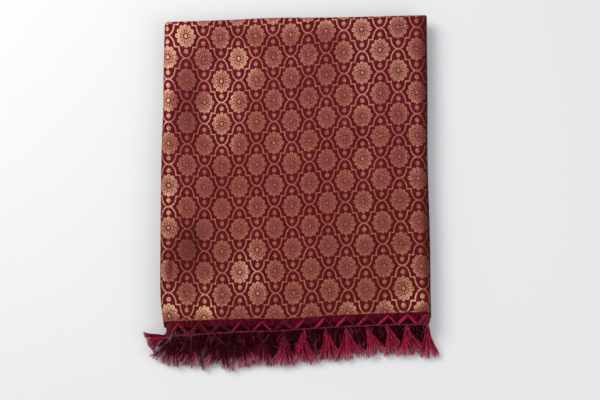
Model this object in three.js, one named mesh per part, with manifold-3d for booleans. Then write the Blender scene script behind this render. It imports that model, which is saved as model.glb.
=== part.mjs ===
// A silk brocade sari folded into a flat rectangle, with its fringed end on top.
// Millimetres, +Z up. X runs across the folded width, and the fringe points to -Y.
import * as THREE from "three";
import { mergeVertices } from "three/addons/utils/BufferGeometryUtils.js";
import Module from "manifold-3d";

const wasm = await Module();
wasm.setup();

// ---------------------------------------------------------------- driving sizes

const HALF_WIDTH = 140; // the loom width folded in four
const FOLD_RADIUS = 6; // outside of the top leaf where it turns over an edge
const TOP_Z = 24.6; // outer face of the top leaf, before its waves
const LEAF_WALL = 1.2;
const BAND_WALL = 1.1;
const SEAM_GAP = 0.3;
const FLAT_HALF = HALF_WIDTH - FOLD_RADIUS;
const FOLD_CENTRE_Z = TOP_Z - FOLD_RADIUS;

// The far fold and the hem both climb a little towards +X.
const FAR_FOLD = { middle: 187.4, climb: 3.8, bulge: 1.3, bulgeAt: -22, bulgeWidth: 42 };
const HEM = { middle: -132, climb: 5.2, sag: 1.8, sagAt: -10, sagWidth: 32 };

// Where each long edge stands in from the half width: a row for each soft bump.
const LEFT_EDGE = [
  { at: 40, width: 150, inset: -1.8 },
  { at: 90, width: 30, inset: 0.8 },
  { at: -150, width: 26, inset: 4.6 },
];
const RIGHT_EDGE = [
  { at: 0, width: 600, inset: -2.5 },
  { at: 195, width: 26, inset: -0.5 },
  { at: 30, width: 60, inset: 1.3 },
  { at: -104, width: 26, inset: 0.4 },
];

// Soft waves of the top leaf: centre, half-lengths across and along, and height.
const WAVES = [
  { x: -112, y: -62, across: 13, along: 30, rise: -0.75 },
  { x: 24, y: 90, across: 11, along: 70, rise: -0.45 },
  { x: -101, y: 40, across: 10, along: 60, rise: -0.4 },
  { x: 92, y: -20, across: 26, along: 70, rise: 0.3 },
  { x: -40, y: 130, across: 30, along: 40, rise: 0.3 },
  { x: -60, y: -60, across: 24, along: 60, rise: 0.3 },
  { x: -91, y: -124, across: 9, along: 16, rise: -0.8 },
  { x: -45, y: -131, across: 11, along: 12, rise: 0.35 },
  { x: 12, y: -129, across: 10, along: 14, rise: -0.55 },
  { x: 60, y: -127, across: 12, along: 12, rise: 0.35 },
  { x: 104, y: -124, across: 10, along: 13, rise: -0.5 },
];

// The hanging end bends down from the hem: slope in degrees along its length.
const TOP_DRAPE = {
  start: 0,
  z: TOP_Z,
  slopes: [
    { along: 0, slope: 0 },
    { along: 14, slope: 30 },
    { along: 34, slope: 30 },
    { along: 52, slope: 8 },
    { along: 66, slope: 2 },
  ],
};
const SECOND_DRAPE = {
  start: -6,
  z: TOP_Z - 2.6,
  slopes: [
    { along: -6, slope: 0 },
    { along: -1, slope: 0 },
    { along: 9, slope: 36.5 },
    { along: 28, slope: 36.5 },
    { along: 43, slope: 3 },
    { along: 60, slope: 0 },
  ],
};

// The hidden layers: a pile under the top leaf, then the edges of the folds below it.
const STACK = {
  topZ: 22.2,
  pileReach: 4.1,
  pileRise: 3.6,
  nearDip: 2,
  nearDipLength: 16,
  nearSetBack: 3,
  sideSteps: 12,
  endSteps: 8,
  ridgeTopZ: 12.4,
  grooveReach: 0.9,
};
const FOLD_RIDGES = [
  { reach: 4.7, wave: 0.5, turns: 3 },
  { reach: 3.6, wave: 0.6, turns: 5 },
  { reach: 5.1, wave: 0.4, turns: 4 },
  { reach: 4.2, wave: 0.6, turns: 3 },
];

const DRAPE_STEP = 0.5;
const DRAPE_WAVE_FADE = 14; // the top leaf's waves die out this far beyond the hem

const END_BAND_LENGTH = 7.2;
const SECOND_BAND = { halfWidth: 131, length: 12.5 };

const NET = { cordRadius: 0.8, knotRadius: 1.7, topAt: 1.6, lineRadius: 0.5 };
// The net's zigzag from the left: a bottom on the thread between the knots, then a top.
const ZIGZAG = [
  { bottom: -130.5, top: -120.5 },
  { bottom: -109.5, top: -99 },
  { bottom: -88, top: -77.2 },
  { bottom: -66.3, top: -55.5 },
  { bottom: -44.6, top: -33.8 },
  { bottom: -23, top: -12 },
  { bottom: -1, top: 9.8 },
  { bottom: 20.5, top: 31 },
  { bottom: 42, top: 53 },
  { bottom: 64, top: 75 },
  { bottom: 85.5, top: 96 },
  { bottom: 106, top: 117 },
  { bottom: 127, top: 136.5 },
];

// Top tassels: place across, knot's distance from the hem, lean to +X in degrees,
// half the fan's angle, and strand length.
const TOP_TASSELS = [
  { x: -130.5, knot: 15.6, lean: -62, fan: 11, length: 25 },
  { x: -120.5, knot: 15.0, lean: -26, fan: 9, length: 34 },
  { x: -99.0, knot: 14.4, lean: -18, fan: 9, length: 36 },
  { x: -77.2, knot: 13.8, lean: -6, fan: 9, length: 37 },
  { x: -55.5, knot: 13.2, lean: 5, fan: 9, length: 38 },
  { x: -33.8, knot: 12.6, lean: 0, fan: 9, length: 37 },
  { x: -12.0, knot: 11.8, lean: 4, fan: 8, length: 39 },
  { x: 9.8, knot: 11.6, lean: -3, fan: 9, length: 37 },
  { x: 31.5, knot: 12.0, lean: 4, fan: 10, length: 36 },
  { x: 52.9, knot: 12.0, lean: 11, fan: 9, length: 35 },
  { x: 74.2, knot: 11.8, lean: 19, fan: 9, length: 33 },
  { x: 95.5, knot: 11.8, lean: 17, fan: 9, length: 33 },
  { x: 115.8, knot: 12.2, lean: 10, fan: 9, length: 34 },
  { x: 136.5, knot: 12.8, lean: 4, fan: 8, length: 36 },
];
// Tassels of the second leaf, between and below the others, on the edge of its end.
const SECOND_TASSELS = [
  { x: -110, lean: -26, fan: 9, length: 28 },
  { x: -88, lean: -14, fan: 9, length: 29 },
  { x: -66.5, lean: 0, fan: 9, length: 30 },
  { x: -44.5, lean: 3, fan: 9, length: 29 },
  { x: -23, lean: 3, fan: 9, length: 30 },
  { x: -1, lean: 0, fan: 9, length: 31 },
  { x: 20.5, lean: 2, fan: 9, length: 30 },
  { x: 42, lean: 5, fan: 9, length: 29 },
  { x: 64, lean: 13, fan: 9, length: 28 },
  { x: 85, lean: 10, fan: 9, length: 28 },
  { x: 106, lean: 14, fan: 9, length: 28 },
  { x: 126, lean: 12, fan: 9, length: 29 },
];
// Strands of one tassel: place in the fan from -1 to 1, height over the middle.
const STRANDS = [
  { fan: -1, lift: 0.45 },
  { fan: -1 / 3, lift: 0.75 },
  { fan: 1 / 3, lift: 0.75 },
  { fan: 1, lift: 0.45 },
  { fan: -2 / 3, lift: -0.95 },
  { fan: 0, lift: -1.05 },
  { fan: 2 / 3, lift: -0.95 },
];
const STRAND = { sides: 3, root: 0.5, belly: 1.15, tip: 0.5, rootReach: 1.75 };
const HEAD = { across: 2.7, high: 1.8, along: 2.1 };
const FACETED = 0.88; // how far a faceted knot or head really reaches, of its radius

// ---------------------------------------------------------------- small helpers

const radians = THREE.MathUtils.degToRad;
const lerp = THREE.MathUtils.lerp;
const smoothstep = THREE.MathUtils.smoothstep;

function bump(distance, width) {
  return Math.exp(-((distance / width) ** 2));
}

// Numbers evenly spaced from one end to the other, both ends included.
function spaced(from, to, steps) {
  return Array.from({ length: steps + 1 }, (_, k) => lerp(from, to, k / steps));
}

function geometryOf(points, triangles) {
  const geometry = new THREE.BufferGeometry();
  const position = new Float32Array(points.flatMap((p) => [p.x, p.y, p.z]));
  geometry.setAttribute("position", new THREE.BufferAttribute(position, 3));
  geometry.setIndex(triangles);
  return geometry;
}

// A closed wall between two grids: place(column, row, face) with face 0 out and 1 in.
function wallGeometry(columns, rows, place) {
  const points = [];
  const triangles = [];
  for (const face of [0, 1])
    for (const row of rows)
      for (const column of columns) points.push(place(column, row, face));
  const wide = columns.length;
  const high = rows.length;
  const at = (i, j, face) => face * wide * high + j * wide + i;
  const quad = (a, b, c, d) => triangles.push(a, b, c, a, c, d);
  for (let j = 0; j + 1 < high; j++)
    for (let i = 0; i + 1 < wide; i++) {
      quad(at(i, j, 0), at(i + 1, j, 0), at(i + 1, j + 1, 0), at(i, j + 1, 0));
      quad(at(i, j + 1, 1), at(i + 1, j + 1, 1), at(i + 1, j, 1), at(i, j, 1));
    }
  for (let i = 0; i + 1 < wide; i++) {
    quad(at(i, 0, 1), at(i + 1, 0, 1), at(i + 1, 0, 0), at(i, 0, 0));
    const last = high - 1;
    quad(at(i, last, 0), at(i + 1, last, 0), at(i + 1, last, 1), at(i, last, 1));
  }
  for (let j = 0; j + 1 < high; j++) {
    quad(at(0, j, 0), at(0, j + 1, 0), at(0, j + 1, 1), at(0, j, 1));
    const last = wide - 1;
    quad(at(last, j, 1), at(last, j + 1, 1), at(last, j + 1, 0), at(last, j, 0));
  }
  return geometryOf(points, triangles);
}

// A rod with its own radius at each point of its path, closed at both ends.
function rodGeometry(path, radii, sides) {
  const points = [];
  const triangles = [];
  const up = new THREE.Vector3(0, 0, 1);
  path.forEach((point, k) => {
    const before = path[Math.max(k - 1, 0)];
    const after = path[Math.min(k + 1, path.length - 1)];
    const forward = after.clone().sub(before).normalize();
    const side = new THREE.Vector3().crossVectors(forward, up).normalize();
    const normal = new THREE.Vector3().crossVectors(side, forward);
    for (let s = 0; s < sides; s++) {
      const turn = (2 * Math.PI * s) / sides + Math.PI / 2;
      const out = side.clone().multiplyScalar(Math.cos(turn));
      out.addScaledVector(normal, Math.sin(turn));
      points.push(point.clone().addScaledVector(out, radii[k]));
    }
  });
  for (let k = 0; k + 1 < path.length; k++)
    for (let s = 0; s < sides; s++) {
      const a = k * sides + s;
      const b = k * sides + ((s + 1) % sides);
      triangles.push(a, a + sides, b, b, a + sides, b + sides);
    }
  const end = (path.length - 1) * sides;
  for (let s = 1; s + 1 < sides; s++) {
    triangles.push(0, s, s + 1);
    triangles.push(end, end + s + 1, end + s);
  }
  return geometryOf(points, triangles);
}

function solidOf(geometry) {
  const bare = geometry.clone();
  bare.deleteAttribute("normal");
  bare.deleteAttribute("uv");
  const merged = mergeVertices(bare, 1e-4);
  const mesh = new wasm.Mesh({
    numProp: 3,
    vertProperties: merged.attributes.position.array,
    triVerts: new Uint32Array(merged.index.array),
  });
  return new wasm.Manifold(mesh);
}

function joined(geometries) {
  const solid = geometries.map(solidOf).reduce((sum, next) => sum.add(next));
  const mesh = solid.getMesh();
  const geometry = new THREE.BufferGeometry();
  geometry.setAttribute("position", new THREE.BufferAttribute(mesh.vertProperties, 3));
  geometry.setIndex(new THREE.BufferAttribute(mesh.triVerts, 1));
  return geometry;
}

// ---------------------------------------------------------------- outline and surface

function hemY(x) {
  return HEM.middle + (HEM.climb * x) / HALF_WIDTH - HEM.sag * bump(x - HEM.sagAt, HEM.sagWidth);
}

function farY(x) {
  const bulge = FAR_FOLD.bulge * bump(x - FAR_FOLD.bulgeAt, FAR_FOLD.bulgeWidth);
  return FAR_FOLD.middle + (FAR_FOLD.climb * x) / HALF_WIDTH + bulge;
}

// Where the flat of the leaf ends on each side, before it turns over the fold.
function flatEdge(side, y) {
  const rows = side < 0 ? LEFT_EDGE : RIGHT_EDGE;
  const inset = rows.reduce((sum, row) => sum + row.inset * bump(y - row.at, row.width), 0);
  return side * (FLAT_HALF - inset);
}

function waveRise(x, y) {
  return WAVES.reduce(
    (sum, w) => sum + w.rise * bump(x - w.x, w.across) * bump(y - w.y, w.along),
    0,
  );
}

// Columns and rows carry a place on the flat from 0 to 1, and an angle round a fold.
function stations(steps, startAngles, endAngles) {
  return [
    ...startAngles.map((angle) => ({ share: 0, angle: -angle })),
    ...spaced(0, 1, steps).map((share) => ({ share, angle: 0 })),
    ...endAngles.map((angle) => ({ share: 1, angle })),
  ];
}

// A point of the top leaf: flat, then rolled over the sides and the far fold.
function leafPoint(column, row, radius) {
  const middleX = lerp(-FLAT_HALF, FLAT_HALF, column.share);
  const flatY = (x) => lerp(hemY(x), farY(x) - FOLD_RADIUS, row.share);
  const y = flatY(middleX);
  const x = lerp(flatEdge(-1, y), flatEdge(1, y), column.share);
  const turned = Math.max(Math.abs(column.angle), Math.abs(row.angle));
  const length = Math.hypot(column.angle, row.angle) || 1;
  const angle = radians(turned);
  const out = radius * Math.sin(angle);
  const rise = waveRise(x, y) * Math.max(0, Math.cos(angle));
  return new THREE.Vector3(
    x + (out * column.angle) / length,
    y + (out * row.angle) / length,
    FOLD_CENTRE_Z + radius * Math.cos(angle) + rise,
  );
}

// The slope at a place, between the rows of a drape's table.
function slopeAt(rows, place) {
  const next = rows.findIndex((row) => row.along >= place);
  if (next < 0) return rows[rows.length - 1].slope;
  if (next === 0) return rows[0].slope;
  const before = rows[next - 1];
  const share = (place - before.along) / (rows[next].along - before.along);
  return lerp(before.slope, rows[next].slope, share);
}

// The side view of a hanging end: distance out from the hem, height and slope.
function drapeAt(drape, along) {
  let out = drape.start;
  let z = drape.z;
  let slope = 0;
  for (let place = drape.start; place < along; place += DRAPE_STEP) {
    const step = Math.min(DRAPE_STEP, along - place);
    slope = radians(slopeAt(drape.slopes, place + step / 2));
    out += step * Math.cos(slope);
    z -= step * Math.sin(slope);
  }
  return { out, z, slope };
}

// A point beyond the hem, lifted off the outer face of the hanging end.
function hangingPoint(drape, x, along, lift) {
  const { out, z, slope } = drapeAt(drape, along);
  const fade = 1 - smoothstep(along, 0, DRAPE_WAVE_FADE);
  const rise = drape === TOP_DRAPE ? waveRise(x, hemY(x)) * fade : 0;
  return new THREE.Vector3(
    x,
    hemY(x) - out - lift * Math.sin(slope),
    z + rise + lift * Math.cos(slope),
  );
}

// ---------------------------------------------------------------- pieces

const SIDE_ANGLES = [40, 80, 120, 160];

function topLeaf() {
  const columns = stations(26, [...SIDE_ANGLES].reverse(), SIDE_ANGLES);
  const rows = stations(15, [], SIDE_ANGLES);
  return wallGeometry(columns, rows, (column, row, face) =>
    leafPoint(column, row, FOLD_RADIUS - face * LEAF_WALL),
  );
}

// The plain end band goes on from the hem and rolls over the side folds with the leaf.
function endBand() {
  const bandAngles = SIDE_ANGLES.slice(0, 3);
  const columns = stations(26, [...bandAngles].reverse(), bandAngles);
  const rows = spaced(SEAM_GAP, END_BAND_LENGTH, 3);
  return wallGeometry(columns, rows.reverse(), (column, along, face) => {
    const radius = FOLD_RADIUS - face * BAND_WALL;
    const angle = radians(column.angle);
    const middleX = lerp(-FLAT_HALF, FLAT_HALF, column.share);
    const y = hemY(middleX) - along;
    const x = lerp(flatEdge(-1, y), flatEdge(1, y), column.share);
    const lift = radius * Math.cos(angle) - FOLD_RADIUS;
    const point = hangingPoint(TOP_DRAPE, x, along, lift);
    point.x += radius * Math.sin(angle);
    return point;
  });
}

function secondLeafEnd() {
  const columns = spaced(-SECOND_BAND.halfWidth, SECOND_BAND.halfWidth, 14);
  const rows = [-6, -1, 3, 6, 9, SECOND_BAND.length].reverse();
  return wallGeometry(columns, rows, (x, along, face) =>
    hangingPoint(SECOND_DRAPE, x, along, -face * BAND_WALL),
  );
}

// Stations round the pile: a base point on its flat, and the way out from it.
function stackStations() {
  const around = [];
  const far = (x) => farY(x) - FOLD_RADIUS;
  const near = (x) => hemY(x) + STACK.nearSetBack;
  const side = (sign, from, to) => {
    for (const y of spaced(from(sign * FLAT_HALF), to(sign * FLAT_HALF), STACK.sideSteps))
      around.push({ x: flatEdge(sign, y), y, dx: sign, dy: 0 });
  };
  const end = (sign, edge, fromSide) => {
    for (const share of spaced(fromSide, -fromSide, STACK.endSteps)) {
      const y = edge(share * FLAT_HALF);
      const x = lerp(flatEdge(-1, y), flatEdge(1, y), (share + 1) / 2);
      around.push({ x, y, dx: 0, dy: sign });
    }
  };
  const corner = (sign, edge, fromTurn) => {
    const y = edge(sign * FLAT_HALF);
    for (const turn of [22.5, 45, 67.5]) {
      const way = radians(fromTurn + turn);
      around.push({ x: flatEdge(sign, y), y, dx: Math.cos(way), dy: Math.sin(way) });
    }
  };
  side(1, near, far);
  corner(1, far, 0);
  end(1, far, 1);
  corner(-1, far, 90);
  side(-1, far, near);
  corner(-1, near, 180);
  end(-1, near, -1);
  corner(1, near, 270);
  return around;
}

// The profile from the pile's top to the underside: reach out of the base and height.
function stackProfile(share) {
  const profile = [];
  for (const angle of [0, 45, 90, 135, 180])
    profile.push({
      reach: STACK.pileReach * Math.sin(radians(angle)),
      z: FOLD_CENTRE_Z + STACK.pileRise * Math.cos(radians(angle)),
    });
  const pitch = STACK.ridgeTopZ / FOLD_RIDGES.length;
  FOLD_RIDGES.forEach((ridge, k) => {
    const top = STACK.ridgeTopZ - k * pitch;
    const reach = ridge.reach + ridge.wave * Math.sin(2 * Math.PI * (ridge.turns * share + k / 3));
    profile.push({ reach: STACK.grooveReach, z: top + (k ? 0 : 0.5) });
    profile.push({ reach, z: top - pitch * 0.3 });
    profile.push({ reach, z: top - pitch * 0.7 });
  });
  profile.push({ reach: STACK.grooveReach * 3, z: 0 });
  return profile;
}

function foldedLayers() {
  const around = stackStations();
  const count = around.length;
  const points = [];
  const triangles = [];
  const middle = { x: 0, y: (hemY(0) + farY(0)) / 2 };
  const nearShare = (s) => {
    const fromNear = s.y - hemY(s.x) - STACK.nearSetBack;
    return 1 - smoothstep(fromNear, 0, STACK.nearDipLength);
  };
  points.push(new THREE.Vector3(middle.x, middle.y, STACK.topZ));
  const CAP_RINGS = [0.5, 0.9];
  for (const ring of CAP_RINGS)
    for (const s of around)
      points.push(
        new THREE.Vector3(lerp(middle.x, s.x, ring), lerp(middle.y, s.y, ring), STACK.topZ),
      );
  const profiles = around.map((_, k) => stackProfile(k / count));
  for (let level = 0; level < profiles[0].length; level++)
    around.forEach((s, k) => {
      const { reach, z } = profiles[k][level];
      const dip = z > FOLD_CENTRE_Z ? STACK.nearDip * nearShare(s) : 0;
      points.push(new THREE.Vector3(s.x + s.dx * reach, s.y + s.dy * reach, z - dip));
    });
  points.push(new THREE.Vector3(middle.x, middle.y, 0));
  const rings = CAP_RINGS.length + profiles[0].length;
  const at = (ring, k) => 1 + ring * count + (k % count);
  for (let k = 0; k < count; k++) {
    triangles.push(0, at(0, k), at(0, k + 1));
    for (let ring = 0; ring + 1 < rings; ring++) {
      triangles.push(at(ring, k), at(ring + 1, k), at(ring + 1, k + 1));
      triangles.push(at(ring, k), at(ring + 1, k + 1), at(ring, k + 1));
    }
    triangles.push(points.length - 1, at(rings - 1, k + 1), at(rings - 1, k));
  }
  return geometryOf(points, triangles);
}

// Knots stand just off the hanging end, on one thread, below a zigzag of cords.
function knotPoint(tassel) {
  return hangingPoint(TOP_DRAPE, tassel.x, tassel.knot, SEAM_GAP + NET.cordRadius);
}

// Distance from the hem of the thread that joins the knots.
function threadAt(x) {
  const next = Math.max(1, TOP_TASSELS.findIndex((tassel) => tassel.x >= x));
  const [before, after] = TOP_TASSELS.slice(next - 1, next + 1);
  return lerp(before.knot, after.knot, (x - before.x) / (after.x - before.x));
}

function cordNet() {
  const pieces = [];
  const lift = SEAM_GAP + NET.cordRadius;
  const cord = (fromX, fromAlong, toX, toAlong, radius) => {
    const path = spaced(0, 1, 2).map((share) =>
      hangingPoint(TOP_DRAPE, lerp(fromX, toX, share), lerp(fromAlong, toAlong, share), lift),
    );
    pieces.push(rodGeometry(path, path.map(() => radius), 4));
  };
  TOP_TASSELS.forEach((tassel, k) => {
    const knot = new THREE.IcosahedronGeometry(NET.knotRadius, 0);
    const place = knotPoint(tassel);
    knot.translate(place.x, place.y, place.z);
    pieces.push(knot);
    const after = TOP_TASSELS[k + 1];
    if (after) cord(tassel.x, tassel.knot, after.x, after.knot, NET.lineRadius);
  });
  ZIGZAG.forEach(({ bottom, top }, k) => {
    cord(top, NET.topAt, bottom, threadAt(bottom), NET.cordRadius);
    const after = ZIGZAG[k + 1];
    if (after) cord(top, NET.topAt, after.bottom, threadAt(after.bottom), NET.cordRadius);
  });
  return joined(pieces);
}

// A head and its strands, fanned about the tassel's lean.
function tasselGeometry(drape, tassel, headX, headAlong, lift) {
  const pieces = [];
  const lean = radians(tassel.lean);
  const head = new THREE.IcosahedronGeometry(1, 0);
  head.scale(HEAD.across, HEAD.along, HEAD.high);
  head.rotateZ(lean);
  const headAt = hangingPoint(drape, headX, headAlong, lift);
  head.translate(headAt.x, headAt.y, headAt.z);
  pieces.push(head);
  for (const strand of STRANDS) {
    const way = lean + radians(strand.fan * tassel.fan);
    const length = tassel.length * (1 - 0.07 * Math.abs(Math.sin(5 * strand.fan + tassel.x)));
    const startX = headX + strand.fan * STRAND.rootReach * Math.cos(lean);
    const startAlong = headAlong - strand.fan * STRAND.rootReach * Math.sin(lean);
    const path = [0, 0.55, 1].map((share) =>
      hangingPoint(
        drape,
        startX + Math.sin(way) * length * share,
        startAlong + Math.cos(way) * length * share,
        lift + strand.lift * Math.min(1, 0.7 + share),
      ),
    );
    pieces.push(rodGeometry(path, [STRAND.root, STRAND.belly, STRAND.tip], STRAND.sides));
  }
  return joined(pieces);
}

// A top tassel hangs from its knot.
function topTassel(tassel) {
  const lean = radians(tassel.lean);
  const reach = FACETED * (NET.knotRadius + HEAD.along) + SEAM_GAP;
  const headX = tassel.x + reach * Math.sin(lean);
  const headAlong = tassel.knot + reach * Math.cos(lean);
  return tasselGeometry(TOP_DRAPE, tassel, headX, headAlong, SEAM_GAP + NET.cordRadius);
}

// A second tassel hangs straight from the edge of its leaf's end.
function secondTassel(tassel) {
  const lean = radians(tassel.lean);
  const backing = FACETED * Math.hypot(HEAD.across * Math.sin(lean), HEAD.along * Math.cos(lean));
  const headAlong = SECOND_BAND.length + SEAM_GAP + backing;
  return tasselGeometry(SECOND_DRAPE, tassel, tassel.x, headAlong, -BAND_WALL / 2);
}

// ---------------------------------------------------------------- the folded sari

const FINISHES = {
  brocade: { color: 0x8c4a3e, roughness: 0.55, metalness: 0.15 },
  layers: { color: 0x5e1426, roughness: 0.6, metalness: 0 },
  plain: { color: 0x5a0c24, roughness: 0.5, metalness: 0 },
  cord: { color: 0xa01a44, roughness: 0.45, metalness: 0 },
};

const sari = new THREE.Group();

function addPiece(name, geometry, finish) {
  const piece = new THREE.Mesh(geometry, new THREE.MeshStandardMaterial(FINISHES[finish]));
  piece.name = name;
  sari.add(piece);
}

addPiece("folded_layers", foldedLayers(), "layers");
addPiece("top_leaf", topLeaf(), "brocade");
addPiece("end_band", endBand(), "plain");
addPiece("second_leaf_end", secondLeafEnd(), "plain");
addPiece("cord_net", cordNet(), "cord");
TOP_TASSELS.forEach((tassel, k) => addPiece(`tassel_${k + 1}`, topTassel(tassel), "cord"));
SECOND_TASSELS.forEach((tassel, k) => addPiece(`second_tassel_${k + 1}`, secondTassel(tassel), "cord"));

// The origin is the middle of the footprint, on the surface it lies on.
const box = new THREE.Box3().setFromObject(sari);
sari.position.set(-(box.min.x + box.max.x) / 2, -(box.min.y + box.max.y) / 2, 0);

export default sari;
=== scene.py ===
"""A folded silk brocade sari: looks of each cloth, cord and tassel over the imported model."""
import math

import bpy
import numpy as np
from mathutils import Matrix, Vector


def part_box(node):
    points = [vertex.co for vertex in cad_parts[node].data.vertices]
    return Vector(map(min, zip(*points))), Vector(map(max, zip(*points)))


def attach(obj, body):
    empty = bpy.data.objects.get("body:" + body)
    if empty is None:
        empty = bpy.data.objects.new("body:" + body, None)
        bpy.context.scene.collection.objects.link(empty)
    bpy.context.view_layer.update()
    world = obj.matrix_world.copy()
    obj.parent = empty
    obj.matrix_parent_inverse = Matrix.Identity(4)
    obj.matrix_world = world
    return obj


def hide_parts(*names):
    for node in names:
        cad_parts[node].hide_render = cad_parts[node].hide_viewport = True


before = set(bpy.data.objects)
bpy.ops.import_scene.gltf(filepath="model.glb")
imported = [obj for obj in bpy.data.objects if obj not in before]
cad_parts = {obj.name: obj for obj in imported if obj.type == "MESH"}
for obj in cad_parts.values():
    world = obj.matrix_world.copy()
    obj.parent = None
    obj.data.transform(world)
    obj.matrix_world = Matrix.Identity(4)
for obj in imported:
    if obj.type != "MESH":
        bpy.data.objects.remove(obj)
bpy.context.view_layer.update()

# ------------------------------------------------------------------ sizes, in millimetres

MM = 0.001
HALF_WIDTH = 140.0
HALF_LENGTH = 185.0
FOLD_RADIUS = 6.0
TOP_Z = 24.6
LEAF_WALL = 0.7  # the visible shell, inside the model's 1.2
FLAT_HALF = HALF_WIDTH - FOLD_RADIUS
FOLD_CENTRE_Z = TOP_Z - FOLD_RADIUS
FOLD_TURN = 160.0  # degrees that the leaf turns over an edge
BAND_TURN = 120.0  # and the plain band below it
BAND_LENGTH = 7.2
BAND_WALL = 0.6
SEAM_GAP = 0.3

FAR_FOLD = {"middle": 187.4, "climb": 3.8, "bulge": 1.3, "bulge_at": -22.0, "bulge_width": 42.0}
HEM = {"middle": -132.0, "climb": 5.2, "sag": 1.8, "sag_at": -10.0, "sag_width": 32.0}

# Soft bumps of the two long edges: (at, width, inset)
LEFT_EDGE = [(40, 150, -1.8), (90, 30, 0.8), (-150, 26, 4.6)]
RIGHT_EDGE = [(0, 600, -2.5), (195, 26, -0.5), (30, 60, 1.3), (-104, 26, 0.4)]

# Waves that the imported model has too: (x, y, across, along, rise)
WAVES = [
    (-112, -62, 13, 30, -0.75),
    (24, 90, 11, 70, -0.45),
    (-101, 40, 10, 60, -0.4),
    (92, -20, 26, 70, 0.3),
    (-40, 130, 30, 40, 0.3),
    (-60, -60, 24, 60, 0.3),
    (-91, -124, 9, 16, -0.8),
    (-45, -131, 11, 12, 0.35),
    (12, -129, 10, 14, -0.55),
    (60, -127, 12, 12, 0.35),
    (104, -124, 10, 13, -0.5),
]
# Finer creases and troughs of the top leaf: (x, y, across, along, turn in degrees, rise)
CREASES = [
    (21.5, 110, 1.6, 95, 0.6, -0.30),
    (25.5, 110, 2.6, 90, 0.6, 0.16),
    (-104.5, 20, 1.8, 120, -1.2, -0.26),
    (-100.0, 20, 3.0, 110, -1.2, 0.14),
    (-126, -20, 4.0, 120, 0.5, -0.22),
    (-72, 86, 6.0, 46, 24, 0.42),
    (-86, 70, 5.0, 44, 22, -0.34),
    (-52, -92, 6.0, 30, -30, 0.40),
    (-66, -96, 5.0, 28, -30, -0.32),
    (-116, -80, 4.5, 26, 6, -0.55),
    (-130, -80, 1.8, 26, 0, -0.40),
    (-127, 100, 2.2, 46, 0, -0.30),
    (64, 60, 5.0, 110, -1.5, 0.26),
    (76, 60, 5.0, 110, -1.5, -0.18),
    (118, -60, 5.0, 80, 2.5, 0.24),
    (128, -50, 4.0, 80, 2.0, -0.24),
    (-20, -20, 7.0, 120, 3.0, -0.14),
    (46, -60, 7.0, 70, -4.0, 0.14),
    (-93.5, -127, 1.6, 13, 2, -0.75),
    (-88.5, -126, 2.4, 12, 2, 0.45),
]
# Puckers where the fringe pulls at the hem: (x, across, reach, rise)
PUCKERS = [
    (-131, 3.0, 10, 0.45), (-122, 2.6, 8, -0.40), (-110, 3.4, 12, 0.35), (-101, 2.6, 9, -0.35),
    (-82, 3.2, 12, 0.50), (-73, 2.8, 10, -0.42), (-60, 3.6, 9, 0.32), (-49, 2.8, 8, -0.34),
    (-36, 3.4, 9, 0.36), (-26, 2.6, 11, -0.30), (-15, 3.0, 9, 0.34), (-4, 2.4, 8, -0.32),
    (7, 3.0, 11, 0.42), (17, 2.6, 12, -0.45), (28, 3.4, 12, 0.50), (38, 2.6, 12, -0.46),
    (47, 3.0, 13, 0.52), (57, 2.6, 11, -0.46), (67, 3.2, 13, 0.56), (77, 2.6, 12, -0.50),
    (86, 3.0, 14, 0.58), (95, 2.4, 12, -0.52), (105, 3.0, 13, 0.56), (114, 2.6, 12, -0.50),
    (123, 3.0, 12, 0.52), (131, 2.4, 11, -0.40),
]

# The hanging ends, from the side: (place along, slope in degrees)
TOP_DRAPE = {"start": 0.0, "z": TOP_Z, "slopes": [(0, 0), (14, 30), (34, 30), (52, 8), (66, 2)]}
SECOND_DRAPE = {
    "start": -6.0,
    "z": TOP_Z - 2.6,
    "slopes": [(-6, 0), (-1, 0), (9, 36.5), (28, 36.5), (43, 3), (60, 0)],
}
DRAPE_WAVE_FADE = 14.0  # beyond the hem, where the leaf's waves die out
THREAD_REACH = 56.0  # beyond the hem, where the last loose thread ends
SECOND_END = {"half_width": 131.0, "from": -6.0, "to": 12.5}

# Top tassels: (x, knot, lean, length, room). Second tassels: (x, lean, length, room).
# Room widens or narrows a tassel's fan.
TOP_TASSELS = [
    (-130.5, 15.6, -62, 25, 1), (-120.5, 15.0, -26, 34, 0.9), (-99.0, 14.4, -18, 36, 1),
    (-77.2, 13.8, -6, 37, 1), (-55.5, 13.2, 5, 38, 1), (-33.8, 12.6, 0, 37, 1),
    (-12.0, 11.8, 4, 39, 1), (9.8, 11.6, -3, 37, 1), (31.5, 12.0, 4, 36, 1),
    (52.9, 12.0, 11, 35, 1), (74.2, 11.8, 19, 33, 1), (95.5, 11.8, 17, 33, 1),
    (115.8, 12.2, 10, 34, 1), (136.5, 12.8, 4, 36, 0.68),
]
SECOND_TASSELS = [
    (-114, -26, 28, 1.25), (-88, -14, 29, 1), (-66.5, 0, 30, 1), (-44.5, 3, 29, 1),
    (-23, 3, 30, 1), (-1, 0, 31, 1), (20.5, 2, 30, 1), (42, 5, 29, 1),
    (64, 13, 28, 1), (85, 10, 28, 1), (106, 14, 28, 1), (127.2, 5, 29, 0.85),
]
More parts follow.
